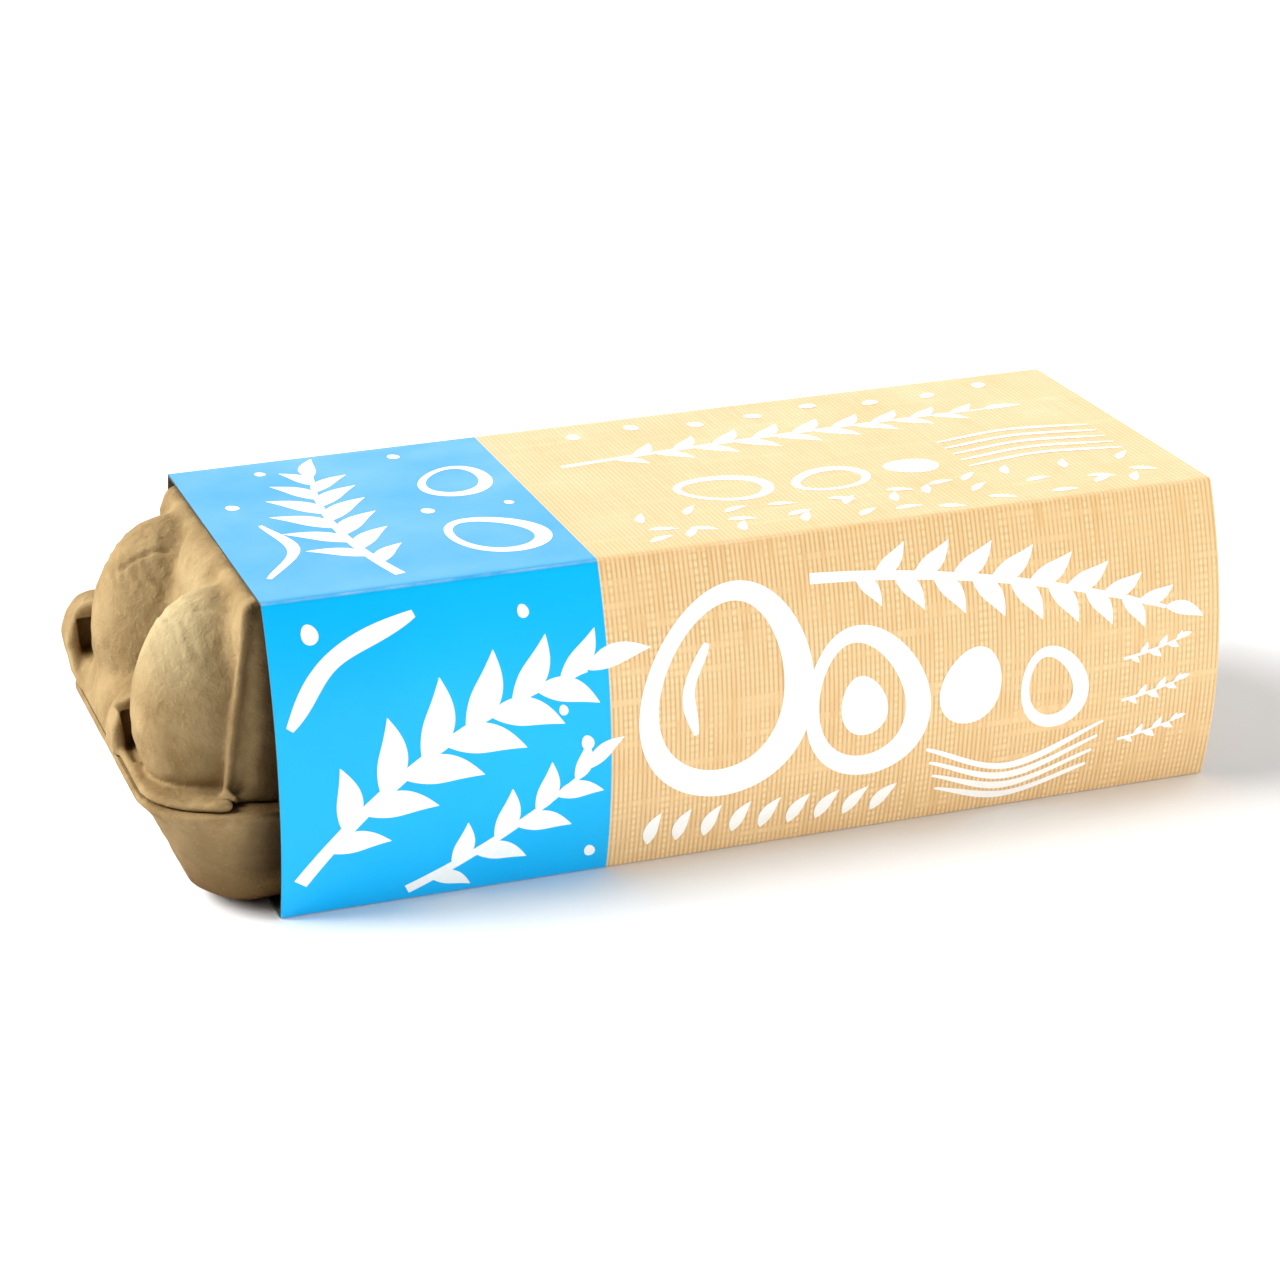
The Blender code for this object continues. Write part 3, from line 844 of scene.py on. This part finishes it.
def printed_board():
    """Coated carton board printed cyan and kraft, the kraft field drawn as linen threads.

    The eye gets two flat fields with a crisp border, fine pale and brown threads a millimetre
    apart, mostly upright, and the satin coat's sheen. The folds are a little pale, partly wear and
    partly a painted highlight, and painted shade makes the top panel a little deeper in colour.
    Ramps over x, z and the way off a fold are in metres.
    """
    material, tree = new_material("printed_board")
    where = add_node(tree, "TexCoord")["Object"]
    axes = add_node(tree, "SeparateXYZ", {"Vector": where})
    unfolded = add_node(tree, "UVMap", uv_map="board")["UV"]
    flat = add_node(tree, "SeparateXYZ", {"Vector": unfolded})
    upright, upright_edge = threads(tree, flat["X"], flat["Y"], *UPRIGHT_THREADS)
    level, level_edge = threads(tree, flat["Y"], flat["X"], *LEVEL_THREADS)
    grains = []
    for size, detail, roughness in BOARD_GRAINS:
        noise = {"Vector": where, "Scale": 1 / (size * MM), "Detail": detail}
        grains.append(add_node(tree, "TexNoise", {**noise, "Roughness": roughness})["Fac"])
    cloud, wear_and_highlight_patches, smear = grains
    # Painted shade: ramp over the top panel, whose colours are painted deeper.
    top_panel_shade = (axes["Z"], 0.069, 0.0698)
    kraft = add_layers(
        tree,
        "#D8B480",
        (
            ("#EACC9B", 1.0, (upright, 0.25, 0.75)),
            ("#F1DAAC", 0.3, (level, 0.4, 0.8)),
            ("#AD7E49", 0.62, (upright_edge, 0.34, 0.02), (level, 0.2, 0.5)),
            ("#BC8F5B", 0.42, (level_edge, 0.34, 0.02), (upright, 0.45, 0.7)),
            # painted shade: kraft deeper on the top panel
            ("#C99A55", 0.42, top_panel_shade),
        ),
    )
    # The top panel's cyan is painted deeper too: painted shade.
    cyan = (("#05B1EA", 1.0, (cloud, 0.0, 1.0)), ("#0491C8", 1.0, top_panel_shade))
    field = add_layers(tree, "#00A6E4", cyan)
    past_border = (axes["X"], (BORDER_X - 0.05) * MM, (BORDER_X + 0.05) * MM)
    field = add_layers(tree, field, ((kraft, 1.0, past_border),))
    for fold in (FRONT_TOP, FRONT_BOTTOM, REAR_TOP, REAR_BOTTOM):
        off = add_node(tree, "Math", {0: flat["Y"], 1: fold * MM}, operation="SUBTRACT")[0]
        off = add_node(tree, "Math", {0: off}, operation="ABSOLUTE")[0]
        # Pale line along the fold: partly wear, partly a painted highlight.
        fold_wear_and_highlight = ("#F0EBDD", 1.0, (off, WEAR_AND_HIGHLIGHT_REACH, 0.0), (wear_and_highlight_patches, 0.25, 1.6))
        field = add_layers(tree, field, (fold_wear_and_highlight,))
    spread = {"Value": smear, "From Min": 0.3, "From Max": 0.7, "To Min": 0.31, "To Max": 0.42}
    satin = add_node(tree, "MapRange", spread)["Result"]
    look = {"Base Color": field, "Roughness": satin, "Specular IOR Level": 0.3}
    shader = add_node(tree, "BsdfPrincipled", look)["BSDF"]
    add_node(tree, "OutputMaterial", {"Surface": shader})
    return material


def fibre_material(name, deep, dark, light, size, roughness):
    """Paper or ink with faint fibres of that size in mm: uneven in tone and slightly rough.

    It is the uncoated back of the board, its cut edge and the ink, which all show the board's
    fibres a little, drawn coarser than the real ones so that they show. Painted shade sinks the
    colour to deep where little light gets in.
    """
    material, tree = new_material(name)
    where = add_node(tree, "TexCoord")["Object"]
    noise = {"Vector": where, "Scale": 1 / (size * MM), "Detail": 4.0, "Roughness": 0.7}
    fibre = add_node(tree, "TexNoise", noise)["Fac"]
    # Painted shade: ambient occlusion darkens the colour to deep in hollows and near other pieces.
    occlusion_shade = add_node(tree, "AmbientOcclusion", {"Distance": OCCLUSION_SHADE_REACH}, samples=6)["AO"]
    layers = ((light, 1.0, (fibre, 0.3, 0.7)), (deep, 1.0, (occlusion_shade, 0.6, 0.1)))
    tone = add_layers(tree, dark, layers)
    bump = {"Strength": 0.3, "Distance": 0.05 * MM, "Height": fibre}
    rough = add_node(tree, "Bump", bump)["Normal"]
    look = {"Base Color": tone, "Roughness": roughness, "Normal": rough}
    shader = add_node(tree, "BsdfPrincipled", look)["BSDF"]
    add_node(tree, "OutputMaterial", {"Surface": shader})
    return material


def make_stage():
    """Pale floor and white surroundings."""
    scene = bpy.context.scene
    scene.view_settings.view_transform = "Standard"
    floor_material, tree = new_material("pale_floor")
    look = {"Base Color": FLOOR_COLOUR, "Roughness": 0.9, "Specular IOR Level": 0.1}
    shader = add_node(tree, "BsdfPrincipled", look)["BSDF"]
    add_node(tree, "OutputMaterial", {"Surface": shader})
    mesh = bpy.data.meshes.new("floor")
    reach = FLOOR_HALF
    corners = [(-reach, -reach, 0), (reach, -reach, 0), (reach, reach, 0), (-reach, reach, 0)]
    mesh.from_pydata(corners, [], [(0, 1, 2, 3)])
    mesh.materials.append(floor_material)
    floor = bpy.data.objects.new("floor", mesh)
    scene.collection.objects.link(floor)

    world = bpy.data.worlds.new("studio")
    scene.world = world
    world.use_nodes = True
    backdrop = world.node_tree.nodes["Background"]
    backdrop.inputs["Color"].default_value = (1.0, 1.0, 1.0, 1.0)
    backdrop.inputs["Strength"].default_value = WORLD_STRENGTH


def make_lamps():
    """Soft suns, which don't show in the gloss, and soft cards, of which only the back one does."""
    scene = bpy.context.scene
    for name, azimuth, height, energy, spread in SUNS:
        sun = bpy.data.lights.new(name, "SUN")
        sun.energy = energy
        sun.angle = math.radians(spread)
        lamp = bpy.data.objects.new(name, sun)
        turn, rise = math.radians(azimuth), math.radians(height)
        way = Vector(
            (math.cos(turn) * math.cos(rise), math.sin(turn) * math.cos(rise), math.sin(rise))
        )
        lamp.rotation_euler = way.to_track_quat("Z", "Y").to_euler()
        lamp.visible_glossy = False
        scene.collection.objects.link(lamp)

    for name, place, (width, height), power in CARDS:
        card = bpy.data.lights.new(name, "AREA")
        card.shape = "RECTANGLE"
        card.size = width
        card.size_y = height
        card.energy = power
        glow = bpy.data.objects.new(name, card)
        glow.location = place
        glow.rotation_euler = Vector(place).to_track_quat("Z", "Y").to_euler()
        glow.visible_glossy = name == "back_card"
        scene.collection.objects.link(glow)


def make_camera():
    """Camera at the photograph's place.

    Its back, right and upward directions follow from its turn round Z from -Y, its lift over the
    floor and its roll, and it stands its distance back from its target.
    """
    scene = bpy.context.scene
    camera = bpy.data.cameras.new("camera")
    camera.sensor_width = SENSOR_WIDTH
    camera.lens = FOCAL_PIXELS * SENSOR_WIDTH / FRAME_WIDTH
    camera.clip_start = 0.01
    viewer = bpy.data.objects.new("camera", camera)
    azimuth, lift, roll = CAMERA_ANGLES
    back = Vector(
        (
            math.sin(azimuth) * math.cos(lift),
            -math.cos(azimuth) * math.cos(lift),
            math.sin(lift),
        )
    )
    level = Vector((math.cos(azimuth), math.sin(azimuth), 0))
    up = back.cross(level)
    right = math.cos(roll) * level + math.sin(roll) * up
    above = -math.sin(roll) * level + math.cos(roll) * up
    spot = Vector(CAMERA_TARGET) * MM + back * CAMERA_DISTANCE
    turned = Matrix((right, above, back)).transposed().to_4x4()
    viewer.matrix_world = Matrix.Translation(spot) @ turned
    scene.collection.objects.link(viewer)
    scene.camera = viewer


make_stage()
make_lamps()
make_camera()
pulp = moulded_pulp("lid_pulp", "#AB9268", "#89704A", "#937A50")
# The tray's pulp is a darker copy of the lid's: painted shade, darkest near the floor.
shaded_pulp = moulded_pulp("tray_pulp", "#A58C64", "#846C47", "#78613E")
lid_lines, tray_lines = end_lines(*LID_GRID), end_lines(*TRAY_GRID)
make_shell("lid_shell", lid_form, lid_lines, lid_relief, 11, pulp, "lid")
make_shell("tray_shell", tray_form, tray_lines, relief, 23, shaded_pulp, "tray")
make_sleeve(
    [
        printed_board(),
        fibre_material("uncoated_board", "#2E2A22", "#958D7C", "#A8A08E", 1.2, 0.85),
        # The cut edge is painted dark: painted shade standing in for the shadow gap beside the
        # pulp.
        fibre_material("shaded_cut_board_edge", "#22262A", "#39403F", "#555A54", 0.6, 0.85),
    ]
)
make_print(fibre_material("white_ink", "#EBEBE6", "#EBEBE6", "#F3F3EF", 1.4, 0.4))
